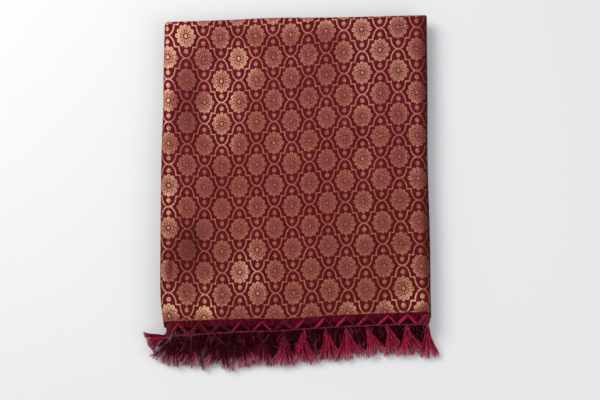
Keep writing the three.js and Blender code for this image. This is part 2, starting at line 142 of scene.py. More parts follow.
# The net's zigzag: place of each bottom and of the top after it, and the girths of the
# cords that rise and fall to that bottom.
ZIGZAG = [
    (-130.5, -120.5, 1.5, 1.0), (-109.5, -99.0, 1.3, 1.6), (-88.0, -77.2, 1.0, 1.8),
    (-66.3, -55.5, 1.5, 1.0), (-44.6, -33.8, 1.4, 0.8), (-23.0, -12.0, 1.0, 1.4),
    (-1.0, 9.8, 2.0, 0.9), (20.5, 31.0, 2.1, 0.6), (42.0, 53.0, 2.3, 0.5),
    (64.0, 75.0, 2.2, 0.7), (85.5, 96.0, 2.2, 0.6), (106.0, 117.0, 2.4, 1.3),
    (127.0, 136.5, 2.2, 1.8),
]
# Loose cords from the hem's corners to the outermost tassels: (lowest x, highest x, place
# of the bottom, looseness, painted shade)
CORNER_CORDS = [(131, 139, 137.5, 1.8, 0.15), (-131.5, -127, -130.5, 0.8, 0.45)]
CORDS_AT_CORNER = 12
STRAY_THREADS = 90
FAR_LEFT = {"lean": -50, "bow": -3.0, "droop": 8.0}  # of a tassel that leans past this
NET_TOP = 1.6
CORD_RADIUS = 0.8
KNOT_RADIUS = 1.7
HEAD_LENGTH = 2.1
CORD_POINTS = 9  # points of the guide line for a cord
LOOP_POINTS = 13  # for a knot's loop
TASSEL_POINTS = 12  # and for a tassel

# The woven repeat, and how it drifts over the leaf: millimetres from one flower's centre,
# for each power of x / HALF_WIDTH and of y / HALF_LENGTH.
REPEAT_ACROSS = 37.55
REPEAT_ALONG = 45.8
DRIFT_ACROSS = {
    (0, 0): 3.1, (1, 0): 141.7, (0, 1): 1.9, (2, 0): -2.7, (1, 1): -0.2, (0, 2): -1.9,
    (3, 0): -1.0, (2, 1): 0.4, (1, 2): -3.0, (0, 3): 1.8,
}
DRIFT_ALONG = {
    (0, 0): -166.9, (1, 0): -9.1, (0, 1): 187.7, (2, 0): -2.2, (1, 1): -2.5, (0, 2): -1.7,
    (3, 0): 5.7, (2, 1): -1.0, (1, 2): 1.9, (0, 3): -3.7,
}
DRIFT_WAVE = (0.45, 76.0, -4.0)  # along the cloth: size, wavelength across, place of its top
WARM_REACH = 315.0  # from the far end to where the metal weft looks warmest

# Painted light on the metal weft: painted highlights, and with a negative gain painted shade: (x,
# y, across, along, turn, gain)
PAINTED_LIGHT = [
    (-131, 150, 9, 42, 0, 0.90), (-131, 70, 8, 40, 0, 0.30), (-131, -5, 8, 34, 0, 0.85),
    (-132, -45, 8, 20, 0, 0.40), (-130, -108, 9, 18, 0, 0.55), (-116, 166, 16, 16, 0, 0.95),
    (-80, 166, 12, 14, 0, 0.12), (-58, 136, 14, 24, 28, 0.85), (-74, 102, 13, 26, 28, 0.95),
    (-89, 78, 12, 18, 28, 0.75), (-72, 52, 10, 12, 0, 0.55), (-52, -78, 13, 22, -30, 0.55),
    (-44, -96, 15, 18, -30, 0.60), (-90, -108, 10, 16, 0, 0.45), (80, 160, 30, 32, 0, 0.50),
    (74, 108, 14, 36, 0, 0.42), (116, 130, 14, 40, 0, 0.35), (20, 176, 90, 10, 1, 0.30),
    (72, 32, 10, 16, 0, 0.28), (72, -28, 10, 24, 0, 0.25), (124, -95, 16, 28, 0, 0.40),
    (128, 50, 9, 80, 0, 0.30), (-111, 90, 10, 44, 0, -0.60), (-113, -64, 20, 30, 0, -0.62),
    (20, -30, 60, 60, 0, -0.08), (-124, 60, 9, 40, 0, -0.15), (-103, -52, 12, 26, 0, -0.34),
    (-80, 4, 12, 22, 0, -0.35), (-10, 142, 130, 10, 0, 0.14),
    (-128, -124, 13, 8, 0, 0.75), (-92, -126, 12, 7, 0, 0.95), (100, -120, 16, 7, 0, 0.50),
    (128, -114, 14, 9, 0, 0.95), (62, -122, 14, 6, 0, 0.50), (141, 20, 6.5, 400, 0, -1.8),
    (-12, 92, 12, 90, 0, 0.08), (35, 150, 20, 26, 0, -0.12), (0, 185, 200, 7, 1.5, 0.45),
    (-136, 100, 4, 46, 0, 0.80), (-126, 102, 4, 44, 0, -0.50), (-136, -80, 3.5, 24, 0, 0.6),
    (-130, -82, 2.5, 22, 0, -0.9),
]


# ------------------------------------------------------------------ outline and surface

def bump(distance, width):
    return np.exp(-((np.asarray(distance, float) / width) ** 2))


def smoothstep(low, high, value):
    share = np.clip((np.asarray(value, float) - low) / (high - low), 0, 1)
    return share * share * (3 - 2 * share)


def hem_y(x):
    sag = HEM["sag"] * bump(x - HEM["sag_at"], HEM["sag_width"])
    return HEM["middle"] + HEM["climb"] * x / HALF_WIDTH - sag


def far_y(x):
    bulge = FAR_FOLD["bulge"] * bump(x - FAR_FOLD["bulge_at"], FAR_FOLD["bulge_width"])
    return FAR_FOLD["middle"] + FAR_FOLD["climb"] * x / HALF_WIDTH + bulge


def flat_edge(side, y):
    rows = LEFT_EDGE if side < 0 else RIGHT_EDGE
    return side * (FLAT_HALF - sum(inset * bump(y - at, width) for at, width, inset in rows))


def turned_patch(x, y, row):
    """How much of a soft patch (x, y, across, along, turn, gain) is at each point."""
    at_x, at_y, across, along, turn, gain = row
    c, s = math.cos(math.radians(turn)), math.sin(math.radians(turn))
    u = (x - at_x) * c + (y - at_y) * s
    v = -(x - at_x) * s + (y - at_y) * c
    return gain * bump(u, across) * bump(v, along)


def wave_rise(x, y):
    return sum(rise * bump(x - wx, across) * bump(y - wy, along)
               for wx, wy, across, along, rise in WAVES)


def fine_rise(x, y):
    """Creases, hem puckers and the slight unrest of laid silk."""
    rise = sum(turned_patch(x, y, row) for row in CREASES)
    from_hem = y - hem_y(x)
    for at, across, reach, height in PUCKERS:
        rise = rise + height * 0.8 * bump(x - at, across) * bump(from_hem, reach)
    for k, (wave, way, size) in enumerate(((31, 20, 0.07), (19, 75, 0.05), (12, 130, 0.03))):
        a = math.radians(way)
        along = x * math.cos(a) + y * math.sin(a)
        across = -x * math.sin(a) + y * math.cos(a)
        bend = 9 * np.sin(across / 37 + k)
        rise = rise + size * np.sin((along + bend) * 2 * math.pi / wave + 2 * k)
    return rise


def drape_side(drape):
    """The side view of a hanging end as arrays: place along, distance out, height, slope."""
    step = 0.25
    rows = np.array(drape["slopes"], float)
    place = np.arange(drape["start"], 70 + step, step)
    slope = np.radians(np.interp(place + step / 2, rows[:, 0], rows[:, 1]))
    out = drape["start"] + np.concatenate([[0], np.cumsum(np.cos(slope) * step)[:-1]])
    z = drape["z"] - np.concatenate([[0], np.cumsum(np.sin(slope) * step)[:-1]])
    return place, out, z, slope


SIDES = {id(drape): drape_side(drape) for drape in (TOP_DRAPE, SECOND_DRAPE)}


def hanging_point(drape, x, along, lift):
    """Points beyond the hem, lifted off the outer face of a hanging end."""
    x, along, lift = np.broadcast_arrays(*(np.asarray(v, float) for v in (x, along, lift)))
    place, out, z, slope = SIDES[id(drape)]
    out, z, slope = (np.interp(along, place, column) for column in (out, z, slope))
    rise = 0
    if drape is TOP_DRAPE:
        fade = 1 - smoothstep(0, DRAPE_WAVE_FADE, along)
        rise = (wave_rise(x, hem_y(x)) + fine_rise(x, hem_y(x))) * fade
    y = hem_y(x) - out - lift * np.sin(slope)
    return np.stack([x, y, z + rise + lift * np.cos(slope)], axis=-1)


def footprint_shift():
    """From the sari's own middle to the frame's origin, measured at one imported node."""
    low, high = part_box("second_leaf_end")
    columns = np.linspace(-SECOND_END["half_width"], SECOND_END["half_width"], 15)
    wall = 1.1
    corner = min(
        hanging_point(SECOND_DRAPE, columns, SECOND_END["to"], lift)[:, 1].min()
        for lift in (0, -wall)
    )
    return np.array([(low[0] + high[0]) / 2, low[1] - corner * MM, 0.0])


SHIFT = footprint_shift()


def placed(points):
    return np.asarray(points) * MM + SHIFT


# ------------------------------------------------------------------ meshes

def linked(name, data):
    """A new object in the scene that shows the data."""
    piece = bpy.data.objects.new(name, data)
    bpy.context.scene.collection.objects.link(piece)
    return piece


def mesh_object(name, vertices, faces, uvs=None, fields=None, edges=()):
    """A smooth mesh piece; uvs hold a value for each vertex, fields one for each or for all."""
    mesh = bpy.data.meshes.new(name)
    mesh.from_pydata(np.asarray(vertices).tolist(), edges, faces)
    mesh.polygons.foreach_set("use_smooth", [True] * len(mesh.polygons))
    if uvs is not None:
        layer = mesh.uv_layers.new(name="cloth")
        corner = np.empty(len(mesh.loops), int)
        mesh.loops.foreach_get("vertex_index", corner)
        layer.data.foreach_set("uv", np.asarray(uvs, float)[corner].ravel())
    for field, values in (fields or {}).items():
        data = mesh.attributes.new(field, "FLOAT", "POINT").data
        data.foreach_set("value", np.full(len(mesh.vertices), values, float))
    return linked(name, mesh)


def wall_faces(rows, columns):
    """Faces of a closed wall: an outer grid, an inner grid, and the rim between them."""
    index = np.arange(2 * rows * columns).reshape(2, rows, columns)
    outer, inner = index
    faces = []

    def quads(a, b, c, d):
        faces.extend(np.stack([a.ravel(), b.ravel(), c.ravel(), d.ravel()], 1).tolist())

    quads(outer[:-1, :-1], outer[:-1, 1:], outer[1:, 1:], outer[1:, :-1])
    quads(inner[1:, :-1], inner[1:, 1:], inner[:-1, 1:], inner[:-1, :-1])
    quads(inner[0, :-1], inner[0, 1:], outer[0, 1:], outer[0, :-1])
    quads(outer[-1, :-1], outer[-1, 1:], inner[-1, 1:], inner[-1, :-1])
    quads(outer[:-1, 0], outer[1:, 0], inner[1:, 0], inner[:-1, 0])
    quads(inner[:-1, -1], inner[1:, -1], outer[1:, -1], outer[:-1, -1])
    return faces


def wall_object(name, outer, inner, uv=None, fields=None):
    rows, columns = outer.shape[:2]
    vertices = placed(np.concatenate([outer.reshape(-1, 3), inner.reshape(-1, 3)]))
    uvs = None if uv is None else np.tile(uv.reshape(-1, 2), (2, 1))
    twice = {key: np.tile(value.ravel(), 2) for key, value in (fields or {}).items()}
    return mesh_object(name, vertices, wall_faces(rows, columns), uvs, twice)


def fold_stations(steps, start_turn, end_turn, fold_steps):
    """Shares of the flat from 0 to 1, and angles round the folds before and after it."""
    share = [np.zeros(fold_steps if start_turn else 0), np.linspace(0, 1, steps + 1),
             np.ones(fold_steps if end_turn else 0)]
    angle = [-np.linspace(start_turn, start_turn / fold_steps, fold_steps) if start_turn else [],
             np.zeros(steps + 1),
             np.linspace(end_turn / fold_steps, end_turn, fold_steps) if end_turn else []]
    return np.concatenate(share), np.concatenate(angle)


# ------------------------------------------------------------------ pattern coordinates

def cloth_uv(x, y):
    """Where each point lies on the woven repeat, in metres from a flower's centre."""
    across, along = x / HALF_WIDTH, y / HALF_LENGTH

    def drifted(table):
        return sum(size * across ** p * along ** q for (p, q), size in table.items())

    # The silk is pulled at the hem, along its left edge and at the near left corner.
    at_hem = bump(y - hem_y(x), 17)
    slip = at_hem * (2.6 * bump(x + 138, 28) - 1.5) - 1.6 * bump(x + 140, 16)
    size, wavelength, top = DRIFT_WAVE
    corner = bump(x + 150, 50) * bump(y + 122, 26)
    wave = size * np.cos((x - top) * 2 * math.pi / wavelength)
    shift = 1.7 * at_hem + 0.6 * corner + wave
    return np.stack([drifted(DRIFT_ACROSS) - slip, drifted(DRIFT_ALONG) + shift], axis=-1) * MM


# ------------------------------------------------------------------ node helpers

def operation(kind):
    return lambda field, *others: field.math(kind, *others)


class Field:
    """A value that changes over a piece, kept as a socket of one node tree."""

    __add__ = __radd__ = operation("ADD")
    __sub__ = operation("SUBTRACT")
    __mul__ = __rmul__ = operation("MULTIPLY")
    __truediv__ = operation("DIVIDE")
    abs, sqrt, floor = map(operation, ("ABSOLUTE", "SQRT", "FLOOR"))
    sin, cos, arctan2 = map(operation, ("SINE", "COSINE", "ARCTAN2"))
    least, most, above = map(operation, ("MINIMUM", "MAXIMUM", "GREATER_THAN"))
    power, modulo = map(operation, ("POWER", "MODULO"))

    def __init__(self, tree, socket):
        self.tree = tree
        self.socket = socket

    def math(self, kind, *others, clamp=False):
        node = self.tree.nodes.new("ShaderNodeMath")
        node.operation = kind
        node.use_clamp = clamp
        for slot, value in zip(node.inputs, (self, *others)):
            feed(slot, value)
        return Field(self.tree, node.outputs[0])

    def __rsub__(self, other):
        return self.math("MULTIPLY_ADD", -1.0, other)

    def wrap(self, low, high):
        return self.math("WRAP", high, low)

    def clamp(self):
        return self.math("ADD", 0.0, clamp=True)

    def inside(self, edge, soft):
        """1 where the field is below edge, 0 above it, over a soft band."""
        node = self.tree.nodes.new("ShaderNodeMapRange")
        node.interpolation_type = "SMOOTHSTEP"
        for name, value in (("Value", self), ("From Min", edge - soft), ("From Max", edge + soft),
                            ("To Min", 1.0), ("To Max", 0.0)):
            feed(node.inputs[name], value)
        return Field(self.tree, node.outputs[0])

    def toward(self, other, share):
        """This field where share is 0, and the other where it is 1."""
        return self + (other - self) * share


def paint(code):
    """A colour written as it is seen, as linear light."""
    values = [int(code[k:k + 2], 16) / 255 for k in (1, 3, 5)]
    return (*(v / 12.92 if v <= 0.04045 else ((v + 0.055) / 1.055) ** 2.4 for v in values), 1.0)


def feed(socket, value):
    """Gives a node's input a plain value, a colour code, or the output that it hangs on."""
    if isinstance(value, Field):
        socket.id_data.links.new(value.socket, socket)
    elif socket.type == "RGBA" and isinstance(value, str):
        socket.default_value = paint(value)
    else:
        socket.default_value = value


class Nodes:
    """Short ways to add and link nodes in one tree."""

    def __init__(self, tree):
        self.tree = tree

    def node(self, kind, settings=None, **inputs):
        node = self.tree.nodes.new(kind)
        for key, value in (settings or {}).items():
            setattr(node, key, value)
        for key, value in inputs.items():
            feed(node.inputs[key.replace("_", " ")], value)
        return node

    def add(self, kind, settings=None, output=0, **inputs):
        return Field(self.tree, self.node(kind, settings, **inputs).outputs[output])


def group_tree(kind, name, inputs, outputs, output_kind="Float"):
    """A node group with named sockets; returns the tree, what it is given and its result."""
    tree = bpy.data.node_groups.new(name, kind)
    for label, socket_kind, value in inputs:
        socket = tree.interface.new_socket(
            label, in_out="INPUT", socket_type="NodeSocket" + socket_kind)
        if value is not None:
            socket.default_value = value
    for label in outputs:
        tree.interface.new_socket(label, in_out="OUTPUT", socket_type="NodeSocket" + output_kind)
    sockets = tree.nodes.new("NodeGroupInput").outputs
    given = {socket.name: Field(tree, socket) for socket in sockets if socket.name}
    return tree, given, tree.nodes.new("NodeGroupOutput").inputs


# ------------------------------------------------------------------ shader groups

def cloth_place(cloth):
    """Both coordinates of a point on the woven repeat, in millimetres."""
    split = cloth.tree.nodes.new("ShaderNodeSeparateXYZ")
    feed(split.inputs[0], cloth)
    return [Field(cloth.tree, split.outputs[axis]) * (1 / MM) for axis in ("X", "Y")]


def make_jaal_group():
    """The woven lattice: bell-shaped ogees, drops inside them, and twelve-petalled flowers."""
    tree, given, result = group_tree(
        "ShaderNodeTree", "jaal lattice",
        [("Cloth", "Vector", None), ("Across", "Float", REPEAT_ACROSS),
         ("Along", "Float", REPEAT_ALONG), ("Line", "Float", 0.62)],
        ("Zari", "Bell", "Flower", "Ties"))
    across, along = given["Across"], given["Along"]
    x, y = cloth_place(given["Cloth"])

    def folded(value, period):
        """Distance to the nearest whole repeat, with its sign kept."""
        turns = value / period + 0.5
        return (turns - turns.floor() - 0.5) * period

    # The nearest flower, of the two sets that stand half a repeat apart.
    x_even, y_even = folded(x, across), folded(y, along)
    x_odd, y_odd = folded(x + across * 0.5, across), folded(y + along * 0.5, along)
    tall = 0.79  # a flower's width over its height
    far_even = x_even * x_even + y_even * y_even * tall
    far_odd = x_odd * x_odd + y_odd * y_odd * tall
    odd = far_even.above(far_odd)
    fx = x_even.toward(x_odd, odd)
    fy = y_even.toward(y_odd, odd) * tall

    # Bells and ledges, in the quarter cell from a crossing to the ledge.
    cell_x, cell_y = x_odd.abs(), y_even.abs()
    swap = cell_y.above(along * 0.25)
    cell_x = cell_x.toward(across * 0.5 - cell_x, swap)
    cell_y = cell_y.toward(along * 0.5 - cell_y, swap)
    bell_half = 7.3  # half its width
    bell_high = along * 0.25
    ex = cell_x * (1 / bell_half)
    ey = (cell_y - bell_high) / bell_high
    size = (ex * ex + ey * ey).sqrt()
    steep_x, steep_y = ex * (1 / bell_half), ey / bell_high
    steepness = (steep_x * steep_x + steep_y * steep_y).sqrt()
    bell_line = ((size - 1.0) * size / steepness).abs()
    ledge = (cell_y - bell_high).abs().most(bell_half - cell_x)
    ledge = ledge.most(cell_x - (across * 0.5 - bell_half))
    lines = (bell_line.least(ledge) - given["Line"]).inside(0.0, 0.28)
    in_bell = (size - 1.0).inside(0.0, 0.06)

    # A rounded drop in each bell, its stalk to the crossing.
    drop_x, drop_y = cell_x / 2.2, (cell_y - 6.7) / 2.4
    drops = (drop_x * drop_x + drop_y * drop_y).sqrt().inside(1.0, 0.2)
    stalk = cell_x.inside(0.3, 0.25) * cell_y.inside(5.0, 0.6) * 0.15

    def from_place(x, y, place):
        """Distance from a place on the middle line y = 0."""
        return ((x - place) * (x - place) + y * y).sqrt()

    # Twelve petals round a dotted centre.
    petal_reach = 7.75
    radius = (fx * fx + fy * fy).sqrt()
    angle = fy.arctan2(fx).wrap(-math.pi / 12, math.pi / 12)
    px, py = radius * angle.cos(), (radius * angle.sin()).abs()
    lobe = from_place(px, py, petal_reach) - 1.95
    wedge = (py - (px * 0.268 - 0.42)).most(px - petal_reach).most(2.7 - px)
    petals = lobe.least(wedge).inside(0.0, 0.22)
    eye = from_place(px, py, 7.95).inside(0.55, 0.25) * 0.7
    slit = py.inside(0.26, 0.16) * (px - 5.7).abs().inside(1.4, 0.3)
    inner_ring = (radius - 4.6).abs().inside(0.2, 0.22) * py.above(0.35)
    heart = radius.inside(1.6, 0.3)
    side_ring = from_place(fx.abs(), fy, 8.75)
    rings = (side_ring - 1.35).abs().inside(0.45, 0.2)
    hole = side_ring.inside(0.8, 0.2)
    cuts = eye.most(slit).most(inner_ring * 0.7).most(hole)
    flower = (petals * (1.0 - cuts * 0.8)).most(heart).most(rings)
    whole = radius.inside(8.65, 0.5)

    # Small binding points tie the metal weft down, in a diaper over the flowers.
    turn = 2 * math.pi
    ties = ((fx * (turn / 2.6)).cos() * (fy * (turn / 3.4)).cos()).inside(-0.3, 0.35) * whole

    zari = lines.most(drops * 0.78).most(stalk).most(flower)
    for name, field in (("Zari", zari), ("Bell", in_bell), ("Flower", whole), ("Ties", ties)):
        feed(result[name], field)
    return tree


def make_weave_group():
    """Fine threads of the ground and of the metal weft: a height and a tone for each."""
    tree, given, result = group_tree(
        "ShaderNodeTree", "silk weave",
        [("Cloth", "Vector", None), ("Thread", "Float", 0.42), ("Float", "Float", 1.1)],
        ("Ground", "Weft", "Tone"))
    thread = given["Thread"]
    x, y = cloth_place(given["Cloth"])
    turn = 2 * math.pi
    ground = (x / thread * turn).sin() * (y / thread * turn).sin() * 0.5 + 0.5
    row = (y / thread).floor()
    weft = ((y / thread) * turn).cos() * 0.35 + 0.5
    ties = ((x / given["Float"] + row * 0.37) * turn).cos() * 0.15
    tone = Nodes(tree).add("ShaderNodeTexNoise", output="Fac", Vector=given["Cloth"],
                           Scale=1400.0, Detail=3.0)
    for name, field in (("Ground", ground), ("Weft", (weft + ties).clamp()), ("Tone", tone)):
        feed(result[name], field)
    return tree


# ------------------------------------------------------------------ finishes

class Finish(Nodes):
    """A material being put together: its tree, its shader and short ways to add nodes."""

    def __init__(self, name, **inputs):
        self.material = bpy.data.materials.new(name)
        self.material.use_nodes = True
        super().__init__(self.material.node_tree)
        self.shader = self.tree.nodes["Principled BSDF"]
        self.set(**inputs)

    def set(self, **inputs):
        for key, value in inputs.items():
            feed(self.shader.inputs[key.replace("_", " ")], value)

    def group(self, tree, **inputs):
        """Every output of a node group, in its own order."""
        node = self.node("ShaderNodeGroup", {"node_tree": tree}, **inputs)
        return [Field(self.tree, socket) for socket in node.outputs]

    def attributes(self, *names):
        return [self.add("ShaderNodeAttribute", {"attribute_name": name}, "Fac") for name in names]

    def uv(self):
        return self.add("ShaderNodeUVMap", {"uv_map": "cloth"})

    def noise(self, scale, detail=2.0, rough=0.5, vector=None):
        """Noise over the piece itself, or over the vector."""
        if vector is None:
            vector = self.add("ShaderNodeTexCoord", output="Object")
        return self.add("ShaderNodeTexNoise", output="Fac", Vector=vector, Scale=scale,
                        Detail=detail, Roughness=rough)

    def mix(self, share, first, second):
        """A colour between two: each a colour code or a field."""
        node = self.node("ShaderNodeMix", {"data_type": "RGBA"})
        for slot, value in ((0, share), (6, first), (7, second)):
            feed(node.inputs[slot], value)
        return Field(self.tree, node.outputs[2])

    def bump(self, height, distance, strength):
        self.set(Normal=self.add("ShaderNodeBump", Height=height, Distance=distance,
                                 Strength=strength))


JAAL = make_jaal_group()
WEAVE = make_weave_group()


def brocade_finish(name, rose, gilt, ground, tones):
    """Maroon silk with a metal-weft lattice; an attribute paints highlights where the weft shines,
    and painted shade where it is negative.

    Rose and gilt each pair the weft's dull colour with a painted highlight; ground pairs the silk's
    warm and cool one, the cool one partly painted sheen.
    """
    finish = Finish(name, Specular_IOR_Level=0.06)
    uv = finish.uv()
    zari, bell, flower, binding = finish.group(JAAL, Cloth=uv)
    silk, weft, tone = finish.group(WEAVE, Cloth=uv)
    painted_light, warm = finish.attributes("painted_light", "warm")
    broad = finish.noise(38.0) - 0.5
    near = finish.noise(230.0, 3.0, 0.6) - 0.5
    speck = finish.noise(480.0, 3.0, 0.8, uv) - 0.5
    # Painted highlight where the weft catches the light, mottled at random.
    shine = painted_light * tones["gain"] + broad * 0.35 + near * 0.45
    # Where the weft is dull, the petals run together; where it shines, they stand apart.
    petals = zari.most((0.3 - shine * 0.6).clamp() * flower)
    if tones["edge"]:
        edge = (finish.attributes("from_hem")[0] - 0.9).abs().inside(0.5, 0.3)
        petals = petals.most(edge * (speck * 5.0 + 0.6).clamp())
    bright = (shine + speck * 1.1).clamp()
    gilded = ((near + broad * 0.8) * 3.0 + flower * 0.45 - 0.05 + warm * 0.25).clamp() * 0.68
    metal = finish.mix(gilded, finish.mix(bright, *rose), finish.mix(bright, *gilt))
    # The cool purple share is partly random tone and partly painted sheen following the painted
    # highlight.
    cool = (near * 2.4 + broad * 1.4 + 0.36 - warm * 0.35 + bell * 0.15 + shine * 0.25).clamp()
    ties = 1.0 - binding * (0.6 - shine * 0.3).clamp()
    # Painted shade thins the weft in the troughs.
    shaded = (painted_light * 0.8 + 1.25).clamp()
    # The share of metal weft that shows, after painted shade and a random grain.
    shaded_weft = (petals * ties * shaded * (0.92 + speck * 3.8 + (tone - 0.5) * 0.6)).clamp()
    colour = finish.mix(shaded_weft, finish.mix(cool, *ground), metal)
    # Painted shade: where the painted light is negative, the colour darkens towards near black.
    finish.set(Base_Color=finish.mix((painted_light * -0.4).clamp(), colour, "#1c0406"),
               Metallic=shaded_weft * tones["metal"], Roughness=0.62 - shaded_weft * 0.17)
    finish.bump(petals * 0.55 + weft * petals * 0.35 + silk * 0.2 + speck * 0.7, 0.00022, 0.8)
    return finish.material


def plain_silk_finish(name, dark, bright):
    """Plain woven silk, uneven where a thread is thicker."""
    finish = Finish(name, Sheen_Weight=0.01, Sheen_Roughness=0.35, Specular_IOR_Level=0.03,
                    Sheen_Tint="#c03060")
    uv = finish.uv()
    silk, _weft, grain = finish.group(WEAVE, Cloth=uv, Thread=0.55)
    drawn = finish.add("ShaderNodeMapping", Vector=uv, Scale=(1.0, 0.12, 1.0))
    slub = finish.noise(520.0, 3.0, 0.7, drawn)
    near = finish.noise(160.0, 3.0)
    share = ((near - 0.35) * 1.1 + (grain - 0.5) * 0.6 + (slub - 0.5) * 2.4).clamp()
    finish.set(Base_Color=finish.mix(share, dark, bright), Roughness=0.42 + grain * 0.2)
    finish.bump(silk * 0.6 + grain * 0.4, 0.00018, 0.8)
    return finish.material


def floss_finish(name, root, tip, frayed):
    """Silk floss: darker at the root, as painted shade where the threads crowd, and brighter and
    paler towards the end, with painted glints.
    """
    finish = Finish(name, Sheen_Weight=0.02, Sheen_Roughness=0.3, Specular_IOR_Level=0.06,
                    Roughness=0.42, Sheen_Tint="#e05080")
    along, own, shadowed = finish.attributes("along", "own", "shadowed")
    fine = finish.noise(900.0)
    patch = finish.noise(210.0, 2.0, 0.6)
    share = along * 0.5 + 0.2 + (own - 0.5) * 1.7 + (fine - 0.5) * 0.6 + (patch - 0.5) * 1.6
    # Painted shadow darkens the body, most at the root.
    body = finish.mix((share - shadowed * (1.3 - along * along * 1.1)).clamp(), root, tip)
    # Painted glints, pale specks; the pale colour also serves the frayed ends.
    glint = ((fine - 0.55) * 9.0).clamp() * (own - 0.3).clamp() * (1.0 - shadowed)
    ends = ((along - 0.83) * 3.0 + (own - 0.5) * 1.3).clamp() * 0.85
    finish.set(Base_Color=finish.mix(ends.most(glint), body, frayed))
    finish.bump(fine, 0.0001, 0.6)
    return finish.material


def cord_finish(name, dark, bright):
    """Twisted silk; an attribute says how far a cord is darkened by painted shade."""
    finish = Finish(name, Sheen_Weight=0.02, Sheen_Roughness=0.3, Specular_IOR_Level=0.15,
                    Roughness=0.36, Sheen_Tint="#e05080")
    own, cord_shade = finish.attributes("own", "cord_shade")
    fine = finish.noise(700.0, 3.0)
    share = ((own - 0.5) * 0.8 + (fine - 0.5) * 1.6 + 0.55 - cord_shade).clamp()
    finish.set(Base_Color=finish.mix(share, dark, bright))
    finish.bump(fine, 0.00012, 0.7)
    return finish.material


BROCADE = brocade_finish(
    "zari brocade", ("#9c5552", "#e4a894"), ("#9a5b42", "#dcae74"), ("#4c0e02", "#62111e"),
    {"gain": 0.9, "metal": 0.3, "edge": True})
# The same brocade in darker colours for the folds' edges: painted shade.
FOLDS = brocade_finish(
    "brocade folds", ("#74362f", "#b88060"), ("#70402e", "#b08a58"), ("#3c0a0c", "#3c0a1a"),
    {"gain": 0.5, "metal": 0.25, "edge": False})
PLAIN = plain_silk_finish("plain crimson silk", "#38030b", "#760f28")
SECOND_PLAIN = plain_silk_finish("shaded crimson silk", "#340410", "#580d22")
FLOSS = floss_finish("crimson floss", "#36020a", "#bc1040", "#d88c9c")
# Darker floss for the fringe of the leaf below: painted shade under the band.
SECOND_FLOSS = floss_finish("deep crimson floss", "#260208", "#78082a", "#b05c78")
CORD = cord_finish("twisted silk cord", "#38030b", "#a8123a")
THREAD = cord_finish("dark silk thread", "#4c0818", "#8c1c40")
STRAY = cord_finish("loose silk thread", "#7c1038", "#c05878")


# ------------------------------------------------------------------ cloth pieces

def between_edges(share, y):
    """Places across the leaf, from shares of its width."""
    left, right = flat_edge(-1, y), flat_edge(1, y)
    return left + (right - left) * share


def brocade_leaf():
    column_share, column_turn = fold_stations(150, FOLD_TURN, FOLD_TURN, 12)
    row_share, row_turn = fold_stations(156, 0, FOLD_TURN, 12)
    share, rows = np.meshgrid(column_share, row_share)
    side_turn, far_turn = np.meshgrid(column_turn, row_turn)
    middle_x = -FLAT_HALF + 2 * FLAT_HALF * share
    y = hem_y(middle_x) + (far_y(middle_x) - FOLD_RADIUS - hem_y(middle_x)) * rows
    x = between_edges(share, y)
    turned = np.maximum(np.abs(side_turn), np.abs(far_turn))
    power = np.where(side_turn > 0, 7.0, 2.6)  # the right corner is folded sharp
    length = (np.abs(side_turn) ** power + np.abs(far_turn) ** power) ** (1 / power)
    length = np.where(turned > 0, length, 1)
    angle = np.radians(turned)
    rise = (wave_rise(x, y) + fine_rise(x, y)) * np.maximum(0, np.cos(angle))

    def face(radius):
        out = radius * np.sin(angle) / length
        z = FOLD_CENTRE_Z + radius * np.cos(angle) + rise
        return np.stack([x + out * side_turn, y + out * far_turn, z], axis=-1)

    rolled_x = x + np.radians(side_turn) * FOLD_RADIUS
    rolled_y = y + np.radians(far_turn) * FOLD_RADIUS
    # Painted light: highlight and shade patches, and painted shade where the leaf turns away over
    # its side and far folds.
    painted_light = sum(turned_patch(x, y, row) for row in PAINTED_LIGHT)
    painted_light = painted_light - 0.5 * smoothstep(20, 90, np.abs(side_turn))
    painted_light = painted_light - 0.5 * smoothstep(50, 90, far_turn)
    return wall_object(
        "brocade_leaf", face(FOLD_RADIUS), face(FOLD_RADIUS - LEAF_WALL),
        cloth_uv(rolled_x, rolled_y),
        {"painted_light": painted_light, "warm": np.clip((HALF_LENGTH - y) / WARM_REACH, 0, 1),
         "from_hem": np.clip(y - hem_y(middle_x), 0, 20)},
    )


def end_band():
    column_share, column_turn = fold_stations(150, BAND_TURN, BAND_TURN, 9)
    share, along = np.meshgrid(column_share, np.linspace(BAND_LENGTH, SEAM_GAP, 9))
    turn = np.radians(np.meshgrid(column_turn, np.zeros(9))[0])
    middle_x = -FLAT_HALF + 2 * FLAT_HALF * share
    y = hem_y(middle_x) - along
    x = between_edges(share, y)

    def face(radius):
        points = hanging_point(TOP_DRAPE, x, along, radius * np.cos(turn) - FOLD_RADIUS)
        points[..., 0] += radius * np.sin(turn)
        return points

    uv = np.stack([x + turn * FOLD_RADIUS, y], axis=-1) * MM
    return wall_object("plain_end_band", face(FOLD_RADIUS), face(FOLD_RADIUS - BAND_WALL), uv)


def second_end():
    x, along = np.meshgrid(
        np.linspace(-SECOND_END["half_width"], SECOND_END["half_width"], 120),
        np.linspace(SECOND_END["to"], SECOND_END["from"], 16),
    )
    ripple = 0.25 * np.sin(x / 4.1) * smoothstep(0, 10, along)

    def face(depth):
        return hanging_point(SECOND_DRAPE, x, along, ripple - depth - 0.25)

    uv = np.stack([x, -along], axis=-1) * MM
    return wall_object("second_leaf_silk", face(0), face(BAND_WALL), uv)


STACK = {
    "top_z": 22.2, "pile_reach": 4.1, "pile_rise": 3.6, "near_dip": 2.0, "near_dip_length": 16.0,
    "near_set_back": 3.0, "ridge_top": 12.4, "groove": 0.9,
}
# Edges of the folds below the top leaf, from the top: (reach, wave, turns)
FOLD_RIDGES = [(4.7, 0.5, 3), (3.6, 0.6, 5), (5.1, 0.4, 4), (4.2, 0.6, 3)]
LEAVES_IN_RIDGE = 4


